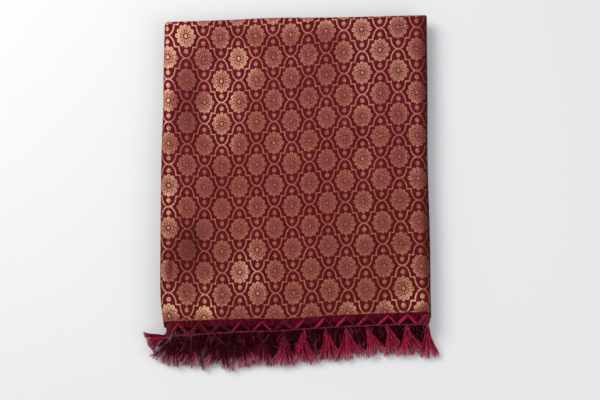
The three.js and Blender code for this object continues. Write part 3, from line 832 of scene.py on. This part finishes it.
def stack_stations(side_steps, end_steps, corner_steps):
    """Base points round the pile and the way out from each, from the near right corner."""
    points, ways = [], []

    def near(x):
        return hem_y(x) + STACK["near_set_back"]

    def far(x):
        return far_y(x) - FOLD_RADIUS

    def side(sign, start, end):
        y = np.linspace(start(sign * FLAT_HALF), end(sign * FLAT_HALF), side_steps + 1)
        points.extend(zip(flat_edge(sign, y), y))
        ways.extend([(sign, 0.0)] * len(y))

    def end(sign, edge, first):
        share = np.linspace(first, -first, end_steps + 1)
        y = edge(share * FLAT_HALF)
        x = between_edges((share + 1) / 2, y)
        points.extend(zip(x, y))
        ways.extend([(0.0, sign)] * len(y))

    def corner(sign, edge, turn):
        y = edge(sign * FLAT_HALF)
        for way in np.radians(turn + np.linspace(0, 90, corner_steps + 2)[1:-1]):
            points.append((flat_edge(sign, y), y))
            ways.append((math.cos(way), math.sin(way)))

    side(1, near, far)
    corner(1, far, 0)
    end(1, far, 1)
    corner(-1, far, 90)
    side(-1, far, near)
    corner(-1, near, 180)
    end(-1, near, -1)
    corner(1, near, 270)
    return np.array(points, float), np.array(ways, float)


def stack_profile(around):
    """Reach and height of each level at each station, leaf by leaf down the edge."""
    reaches, heights = [], []
    for angle in np.radians(np.linspace(0, 180, 25)):
        leaf = 0.22 * abs(math.sin(4.5 * angle)) * math.sin(angle)
        reaches.append(np.full_like(around, STACK["pile_reach"] * math.sin(angle) - 0.2 + leaf))
        heights.append(FOLD_CENTRE_Z + STACK["pile_rise"] * math.cos(angle))
    pitch = STACK["ridge_top"] / len(FOLD_RIDGES)
    steps = np.linspace(0, 1, 3 * LEAVES_IN_RIDGE + 1)
    for k, (reach, wave, turns) in enumerate(FOLD_RIDGES):
        edge = reach + wave * np.sin(2 * math.pi * (turns * around + k / 3))
        last = k == len(FOLD_RIDGES) - 1
        for share in steps[:-1] if not last else steps:
            bulge = math.sin(math.pi * min(share, 0.7 if last else 1)) ** 0.45
            leaf = 0.32 * abs(math.sin(math.pi * LEAVES_IN_RIDGE * share))
            drift = around * (7 + 3 * k) + 2.3 * share * LEAVES_IN_RIDGE
            wander = 0.18 * np.sin(2 * math.pi * drift)
            level = STACK["groove"] + (edge - STACK["groove"] + wander - 0.3) * bulge
            reaches.append(level + leaf * bulge)
            tucked = 0.5 if k + share == 0 else 0
            heights.append(STACK["ridge_top"] - pitch * (k + share) + tucked)
    return np.array(reaches), np.array(heights)


def fold_stack():
    """The hidden layers as one closed solid: a flat top, leafy edges and a flat underside."""
    points, ways = stack_stations(110, 96, 7)
    count = len(points)
    reaches, heights = stack_profile(np.arange(count) / count)
    from_near = points[:, 1] - hem_y(points[:, 0]) - STACK["near_set_back"]
    dip = STACK["near_dip"] * (1 - smoothstep(0, STACK["near_dip_length"], from_near))
    x, y = (points[:, axis] + ways[:, axis] * reaches for axis in (0, 1))
    z = heights[:, None] - dip * (heights[:, None] > FOLD_CENTRE_Z)
    middle = np.array([0.0, float((hem_y(0) + far_y(0)) / 2)])
    rings = [np.column_stack([middle + (points - middle) * share,
                              np.full(count, STACK["top_z"])]) for share in (0.5, 0.9)]
    grid = np.concatenate([np.array(rings), np.stack([x, y, z], axis=-1)])
    vertices = np.concatenate([grid.reshape(-1, 3), [[*middle, STACK["top_z"]], [*middle, 0.0]]])
    index = np.arange(grid.shape[0] * count).reshape(grid.shape[0], count)
    after = np.roll(index, -1, axis=1)
    top, under = np.full(count, len(vertices) - 2), np.full(count, len(vertices) - 1)
    faces = np.stack([top, index[0], after[0]], 1).tolist()
    faces += np.stack([under, after[-1], index[-1]], 1).tolist()
    faces += np.stack([index[:-1], index[1:], after[1:], after[:-1]], -1).reshape(-1, 4).tolist()
    # The pattern runs round the edges, and starts afresh on each fold.
    run = np.concatenate([[0], np.cumsum(np.linalg.norm(np.diff(points, axis=0), axis=1))])
    ridge = np.clip((STACK["ridge_top"] - heights) / STACK["ridge_top"] * len(FOLD_RIDGES), 0, 3)
    climb = heights * 2.1 + np.floor(ridge) * 17.3
    uv_body = np.stack(np.broadcast_arrays(run[None, :], climb[:, None]), axis=-1)
    uvs = np.concatenate([grid[:2, :, :2].reshape(-1, 2), uv_body.reshape(-1, 2),
                          [middle, middle]]) * MM
    # Painted light on the folds' edges: lighter where a ridge reaches out, painted shade in the
    # grooves.
    depth = np.concatenate([np.zeros((2, count)), (reaches - 4.0) * 0.12])
    painted_light = np.concatenate([depth.ravel(), [0.0, 0.0]])
    return mesh_object("folded_stack", placed(vertices), faces, uvs, {"painted_light": painted_light})


# ------------------------------------------------------------------ geometry node trees

class Sprig(Nodes):
    """A tree of geometry nodes that grows something on the guide lines of one mesh."""

    def __init__(self, name, inputs):
        tree, self.given, self.result = group_tree(
            "GeometryNodeTree", name, [("Geometry", "Geometry", None), *inputs,
                                       ("Material", "Material", None)], ["Geometry"], "Geometry")
        super().__init__(tree)

    def vector(self, kind, first, second=None):
        """Vector mathematics with one or two operands; a SCALE's second one is a number."""
        node = self.node("ShaderNodeVectorMath", {"operation": kind})
        feed(node.inputs[0], first)
        if second is not None:
            feed(node.inputs["Scale" if kind == "SCALE" else 1], second)
        return Field(self.tree, node.outputs[0])

    def copies(self, amount, mode, **sampling):
        """The guide lines cut into steps and each repeated, and the number of each copy."""
        curve = self.add("GeometryNodeMeshToCurve", Mesh=self.given["Geometry"])
        sampled = self.add("GeometryNodeResampleCurve", {"mode": mode}, Curve=curve, **sampling)
        node = self.node("GeometryNodeDuplicateElements", {"domain": "SPLINE"}, Geometry=sampled,
                         Amount=amount)
        return [Field(self.tree, node.outputs[name]) for name in ("Geometry", "Duplicate Index")]

    def store(self, geometry, name, value, domain="CURVE"):
        return self.add("GeometryNodeStoreNamedAttribute", {"data_type": "FLOAT", "domain": domain},
                        Geometry=geometry, Name=name, Value=value)

    def named(self, name):
        return self.add("GeometryNodeInputNamedAttribute", {"data_type": "FLOAT"}, Name=name)

    def random(self, identity, seed, low=0.0, high=1.0):
        node = self.node("FunctionNodeRandomValue", {"data_type": "FLOAT"}, ID=identity, Seed=seed)
        node.inputs[2].default_value, node.inputs[3].default_value = low, high
        return Field(self.tree, node.outputs[1])

    def ways(self):
        """The way along the line, and the level way across it."""
        tangent = self.add("GeometryNodeInputTangent")
        across = self.vector("CROSS_PRODUCT", tangent, (0.0, 0.0, 1.0))
        return tangent, self.vector("NORMALIZE", across)

    def moved(self, geometry, **inputs):
        return self.add("GeometryNodeSetPosition", Geometry=geometry, **inputs)

    def skinned(self, curve, sides, radius, **inputs):
        """Sweeps a ring along every line and gives the skin out; returns the tree."""
        ring = self.add("GeometryNodeCurvePrimitiveCircle", Resolution=sides, Radius=radius)
        skin = self.add("GeometryNodeCurveToMesh", Curve=curve, Profile_Curve=ring, Fill_Caps=True,
                        **inputs)
        for kind in ("GeometryNodeRealizeInstances", "GeometryNodeSetShadeSmooth"):
            skin = self.add(kind, Geometry=skin)
        feed(self.result["Geometry"], self.add("GeometryNodeSetMaterial", Geometry=skin,
                                               Material=self.given["Material"]))
        return self.tree


def make_cord_tree():
    """Plies twisted round each guide line of the mesh that carries the modifier."""
    s = Sprig("twisted cord", [
        ("Plies", "Int", 2), ("Cord radius", "Float", 0.0008), ("Twist length", "Float", 0.0042),
        ("Step", "Float", 0.0005), ("Sides", "Int", 6), ("Seed", "Int", 3),
    ])
    radius, plies, girth = s.given["Cord radius"], s.given["Plies"], s.named("girth")
    held, number = s.copies(plies, "LENGTH", Length=s.given["Step"])
    held = s.store(held, "ply", number)
    run = s.add("GeometryNodeSplineParameter", output="Length")
    angle = (run / s.given["Twist length"] + s.named("ply") / plies) * (2 * math.pi)
    tangent, side = s.ways()
    up = s.vector("CROSS_PRODUCT", side, tangent)
    offset = s.vector("ADD", s.vector("SCALE", side, angle.cos()),
                      s.vector("SCALE", up, angle.sin()))
    held = s.moved(held, Offset=s.vector("SCALE", offset, radius * 0.5 * girth))
    held = s.store(held, "own", s.random(s.add("GeometryNodeInputIndex"), s.given["Seed"]))
    return s.skinned(held, s.given["Sides"], radius * 0.56, Scale=girth)


def make_tassel_tree():
    """Locks of fine threads that part from each guide line towards its end."""
    s = Sprig("tassel threads", [
        ("Threads", "Int", 235), ("Locks", "Int", 9), ("Root width", "Float", 0.001),
        ("Fan", "Float", 0.35), ("Thickness", "Float", 0.0012), ("Lock width", "Float", 0.0018),
        ("Points", "Int", 10), ("Wave", "Float", 0.0008), ("Fray", "Float", 0.0022),
        ("Thread radius", "Float", 0.00022), ("Floor", "Float", 0.0004), ("Seed", "Int", 11),
    ])
    held, number = s.copies(s.given["Threads"], "COUNT", Count=s.given["Points"])
    held = s.store(held, "lock", number.modulo(s.given["Locks"]))
    tassel, lock, room = s.named("tassel"), s.named("lock"), s.named("room")
    lock_id, index = tassel * 37.0 + lock, s.add("GeometryNodeInputIndex")
    for name, identity, step, low in (
            ("lock_side", lock_id, 1, -1.0), ("lock_up", lock_id, 2, -1.0),
            ("side", index, 3, -1.0), ("up", index, 4, -1.0), ("phase", index, 5, -1.0),
            ("shorter", index, 6, -1.0), ("lock_shorter", lock_id, 7, -1.0),
            ("fray", index, 9, -1.0), ("own", index, 8, 0.0)):
        held = s.store(held, name, s.random(identity, s.given["Seed"] + step, low))
    share = s.add("GeometryNodeSplineParameter", output="Factor")
    run = s.add("GeometryNodeSplineParameter", output="Length")
    held = s.store(held, "along", share, "POINT")
    # Each lock fans out from the guide; its threads keep near it and part at the end.
    spaced = (lock + 0.5) / s.given["Locks"] - 0.5
    fan = (spaced * 2.0 + s.named("lock_side") * 0.35) * (s.given["Fan"] * room)
    root = spaced * 2.0 * (s.given["Root width"] * room)
    loose = s.named("side") * s.given["Lock width"] * (share.power(1.6) + 0.35)
    wave = (s.named("phase") * 3.1 + share * 7.0).sin() * s.given["Wave"] * share
    frayed = s.named("fray") * s.given["Fray"] * share.power(5.0)
    flare = (share * 0.6 + 0.4) * s.random(tassel, s.given["Seed"] + 12, 0.92, 1.25)
    across = fan * run * flare + root + (loose + wave + frayed)
    rise = s.named("lock_up") * 0.8 + s.named("up") * 0.7
    rise = rise * (s.given["Thickness"] * (share * 0.6 + 0.55))
    back = run * share * (s.named("shorter") * 0.075 + s.named("lock_shorter") * 0.075)
    tangent, side = s.ways()
    offset = s.vector("ADD", s.vector("SCALE", side, across), s.vector("SCALE", tangent, back))
    lifted = s.add("ShaderNodeCombineXYZ", Z=rise)
    held = s.moved(held, Offset=s.vector("ADD", offset, lifted))
    place = s.node("ShaderNodeSeparateXYZ", Vector=s.add("GeometryNodeInputPosition")).outputs
    x, y, z = (Field(s.tree, place[axis]) for axis in ("X", "Y", "Z"))
    held = s.moved(held, Position=s.add("ShaderNodeCombineXYZ", X=x, Y=y,
                                        Z=z.most(s.given["Floor"])))
    return s.skinned(held, 3, s.given["Thread radius"])


def guide_object(name, lines, fields):
    """Polylines as edges, ready for a tree that turns them to curves."""
    edges = []
    for k, line in enumerate(lines):
        start = sum(map(len, lines[:k]))
        edges.extend((start + step, start + step + 1) for step in range(len(line) - 1))
    return mesh_object(name, placed(np.concatenate(lines)), [], fields=fields, edges=edges)


def grown(guide, tree, **inputs):
    """Runs a tree on a guide and keeps the result as a plain mesh."""
    modifier = guide.modifiers.new("made", "NODES")
    modifier.node_group = tree
    sockets = {item.name: item.identifier for item in tree.interface.items_tree
               if item.item_type == "SOCKET" and item.in_out == "INPUT"}
    for key, value in inputs.items():
        modifier[sockets[key.replace("_", " ")]] = value
    bpy.context.view_layer.update()
    evaluated = guide.evaluated_get(bpy.context.evaluated_depsgraph_get())
    mesh = bpy.data.meshes.new_from_object(evaluated)
    mesh.name = guide.name
    bare = guide.data
    guide.modifiers.remove(modifier)
    guide.data = mesh
    bpy.data.meshes.remove(bare)
    return guide


CORD_TREE = make_cord_tree()
TASSEL_TREE = make_tassel_tree()


# ------------------------------------------------------------------ fringe

def thread_at(x):
    """Distance from the hem of the thread that joins the knots."""
    return np.interp(x, [row[0] for row in TOP_TASSELS], [row[1] for row in TOP_TASSELS])


def swell(share):
    """Girth of a cord along its length: fullest in the middle."""
    return 0.3 + 0.7 * np.sin(share * math.pi) ** 0.7


def leftness(x):
    """1 in the left half of the fringe, which is darkened by painted shadow, 0 right of the middle.
    """
    return float(1 - smoothstep(-60, 20, x))


def net_piece():
    """A zigzag of twisted cords over the band, a thread below it, and wrapped knots."""
    lift = SEAM_GAP + CORD_RADIUS
    share = np.linspace(0, 1, CORD_POINTS)
    cords, girths, cord_shades = [], [], []
    chance = np.random.default_rng(7)

    def lay(top, bottom, girth, loose, cord_shade):
        ends = chance.uniform(-1, 1, 5) * loose
        x = top + ends[0] + (bottom + ends[1] - top - ends[0]) * share
        x = x + ends[4] * np.sin(share * math.pi)
        start, stop = NET_TOP + abs(ends[2]) * 0.8, thread_at(bottom) + ends[3] * 0.6
        along = start + (stop - start) * share
        cords.append(hanging_point(TOP_DRAPE, x, along, lift + 0.5 * np.sin(share * math.pi)))
        girths.extend(girth * swell(share))
        cord_shades.extend([cord_shade] * CORD_POINTS)

    last_top = None
    for bottom, top, rising, falling in ZIGZAG:
        for other, girth in ((top, rising), (last_top, falling)):
            if other is not None:
                # Painted shade: thin cords and cords in the left half are darker, the loose extra
                # strands darker still.
                cord_shade = max(0.0, 1.3 - girth) * 0.7 + 0.25 * leftness(bottom)
                lay(other, bottom, girth, 0.4, cord_shade)
                for _ in range(2 if bottom > 10 else 3):
                    lay(other, bottom, chance.uniform(0.4, 0.7), 2.6, cord_shade + 0.2)
        last_top = top
    for low, high, bottom, loose, cord_shade in CORNER_CORDS:
        for _ in range(CORDS_AT_CORNER):
            lay(chance.uniform(low, high), bottom, 1.25, loose, cord_shade + chance.uniform(0, 0.3))
    places = np.array([row[:2] for row in TOP_TASSELS])
    knots = [hanging_point(TOP_DRAPE, x, knot, lift) for x, knot in places]
    threads = [hanging_point(TOP_DRAPE, *(a + (b - a) * share[:, None]).T, lift)
               for a, b in zip(places, places[1:])]
    return [
        grown(guide_object("net_cords", cords, {"girth": girths, "cord_shade": cord_shades}), CORD_TREE,
              Material=CORD, Cord_radius=CORD_RADIUS * MM, Plies=3),
        grown(guide_object("net_thread", threads, {"girth": 1}), CORD_TREE, Material=THREAD,
              Cord_radius=0.62 * MM, Twist_length=0.003, Sides=5),
        grown(guide_object("net_knots", knot_loops(knots), {"girth": 1}), CORD_TREE,
              Material=CORD, Cord_radius=0.6 * MM, Twist_length=0.0026, Sides=5),
    ]


def knot_loops(knots):
    """A few turns of cord round each knot, as guide lines."""
    loops = []
    turn = np.linspace(0, 2 * math.pi, LOOP_POINTS)
    for k, centre in enumerate(knots):
        for tilt in (0.2, 1.3, 2.4):
            spin = tilt + 0.5 * k
            axis_a = np.array([math.cos(spin), 0.35 * math.sin(spin), 0.5])
            axis_b = np.array([-0.5 * math.sin(spin), math.cos(spin), 0.45])
            loops.append(centre + 0.9 * (np.outer(np.cos(turn), axis_a)
                                         + np.outer(np.sin(turn), axis_b)))
    return loops


def leaning(drape, x, along, lean, reach, bend, lift):
    """A line that leaves (x, along) at an angle from straight down, and bends to one side."""
    c, s = math.cos(math.radians(lean)), math.sin(math.radians(lean))
    along = np.minimum(along + c * reach - s * bend, THREAD_REACH)
    return hanging_point(drape, x + s * reach + c * bend, along, lift)


def tassel_guides(name, drape, rows):
    """One guide down the middle of each tassel: (x, along, lean, length, lift, painted shadow,
    room).
    """
    share = np.linspace(0, 1, TASSEL_POINTS)
    lines = []
    for k, (x, along, lean, length, lift, *_rest) in enumerate(rows):
        bow, droop = 1.2 * math.sin(2.4 * k + 1), 0.0
        if lean < FAR_LEFT["lean"]:
            bow, droop = FAR_LEFT["bow"], FAR_LEFT["droop"]
        lines.append(leaning(drape, x, along, lean, length * share,
                             bow * np.sin(share * math.pi), lift - droop * share ** 2))
    order, shadowed, room = np.repeat([(k, *row[-2:]) for k, row in enumerate(rows)],
                                  TASSEL_POINTS, axis=0).T
    return guide_object(name, lines, {"tassel": order, "shadowed": shadowed, "room": room})


def top_fringe():
    rows = []
    for x, knot, lean, length, room in TOP_TASSELS:
        reach, way = 0.6 * KNOT_RADIUS, math.radians(lean)
        # Painted shadow: tassels in the left half lie in the stack's shadow.
        shadowed = 1.05 * leftness(x) if x > -125 else 0.1
        rows.append((x + reach * math.sin(way), knot + reach * math.cos(way), lean,
                     0.95 * length + HEAD_LENGTH, SEAM_GAP + CORD_RADIUS, shadowed, room))
    return grown(tassel_guides("top_fringe", TOP_DRAPE, rows), TASSEL_TREE, Material=FLOSS)


def second_fringe():
    root = SECOND_END["to"] + SEAM_GAP - 0.8
    # The fringe of the leaf below gets some painted shadow too.
    lift, shadowed, longer = -0.5, 0.3, HEAD_LENGTH + 2.5
    rows = [(x, root, lean, length + longer, lift, shadowed, room)
            for x, lean, length, room in SECOND_TASSELS]
    return grown(tassel_guides("second_fringe", SECOND_DRAPE, rows), TASSEL_TREE,
                 Material=SECOND_FLOSS, Seed=23, Threads=240, Locks=12, Root_width=0.0135,
                 Fan=0.12, Lock_width=0.0026, Points=9)


def stray_threads():
    """Single threads that have worked loose and lie over the tassels."""
    chance = np.random.default_rng(19)
    share = np.linspace(0, 1, CORD_POINTS)
    lines = []
    for _ in range(STRAY_THREADS):
        x, start = chance.uniform(-136, 141), chance.uniform(10, 42)
        lean, length = chance.normal(2, 34), chance.uniform(6, 16)
        curl = chance.uniform(-3, 3) * share ** 2
        lift = chance.uniform(1.6, 3.0) + 0.8 * np.sin(share * math.pi)
        lines.append(leaning(TOP_DRAPE, x, start, lean, length * share, curl, lift))
    return grown(guide_object("stray_threads", lines, {"girth": 1, "cord_shade": 0}), CORD_TREE,
                 Material=STRAY, Cord_radius=0.17 * MM, Plies=1, Sides=3)


# ------------------------------------------------------------------ stage

def make_stage():
    size = 3.0
    mesh = bpy.data.meshes.new("floor")
    mesh.from_pydata([(-size, -size, 0), (size, -size, 0), (size, size, 0), (-size, size, 0)],
                     [], [(0, 1, 2, 3)])
    finish = Finish("pale floor", Roughness=0.8, Base_Color=(0.72, 0.72, 0.72, 1))
    mesh.materials.append(finish.material)
    linked("floor", mesh)


def make_light(name, place, size, power, tint=(1, 1, 1)):
    """A square lamp that faces the frame's origin."""
    data = bpy.data.lights.new(name, "AREA")
    data.shape = "SQUARE"
    data.size = size
    data.energy = power
    data.color = tint
    light = linked(name, data)
    light.location = place
    light.rotation_euler = (-Vector(place)).to_track_quat("-Z", "Y").to_euler()


def make_camera():
    """Nearly overhead, a little towards the fringe."""
    distance, tilt = 0.875, math.radians(6.0)
    aim = Vector(placed([5.5, -10.5, TOP_Z]))
    data = bpy.data.cameras.new("camera")
    data.sensor_width = 36.0
    data.lens = 50.0
    camera = linked("camera", data)
    camera.location = aim + Vector((0, -distance * math.sin(tilt), distance * math.cos(tilt)))
    camera.rotation_euler = (tilt, 0, 0)
    bpy.context.scene.camera = camera


def make_world():
    world = bpy.data.worlds.new("studio")
    world.use_nodes = True
    background = world.node_tree.nodes["Background"].inputs
    background["Color"].default_value = (0.9, 0.92, 1.0, 1)
    background["Strength"].default_value = 0.55
    bpy.context.scene.world = world


# ------------------------------------------------------------------ the dressed sari

def dress(piece, material, slot, *nodes):
    """Looks, carrier and replaced nodes of a piece; a grown piece has its material. The slot is not
    used.
    """
    if material is not None:
        piece.data.materials.append(material)
    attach(piece, "root")
    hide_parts(*nodes)


bpy.context.scene.view_settings.view_transform = "Standard"
make_stage()
make_world()
make_light("key", (-0.75, 0.55, 1.15), 0.8, 16, (1.0, 0.97, 0.93))
make_light("fill", (0.9, -0.5, 1.0), 1.0, 6)
make_camera()

leaf = brocade_leaf()
band = end_band()
second = second_end()
stack = fold_stack()
cords, thread, wraps = net_piece()
strays = stray_threads()
fringe = top_fringe()
under_fringe = second_fringe()

dress(leaf, BROCADE, "brocade", "top_leaf")
dress(band, PLAIN, "plain_silk", "end_band")
dress(second, SECOND_PLAIN, "plain_silk", "second_leaf_end")
dress(stack, FOLDS, "folded_edges", "folded_layers")
for piece in (cords, thread, wraps, strays):
    dress(piece, None, "fringe_silk", "cord_net")
dress(fringe, None, "fringe_silk", *(f"tassel_{k + 1}" for k in range(len(TOP_TASSELS))))
dress(under_fringe, None, "fringe_silk",
      *(f"second_tassel_{k + 1}" for k in range(len(SECOND_TASSELS))))

fold_run = math.radians(FOLD_TURN) * FOLD_RADIUS
leaf_width = (float(flat_edge(1, 0) - flat_edge(-1, 0)) + 2 * fold_run) * MM
leaf_length = (float(far_y(0) - hem_y(0)) - FOLD_RADIUS + fold_run) * MM
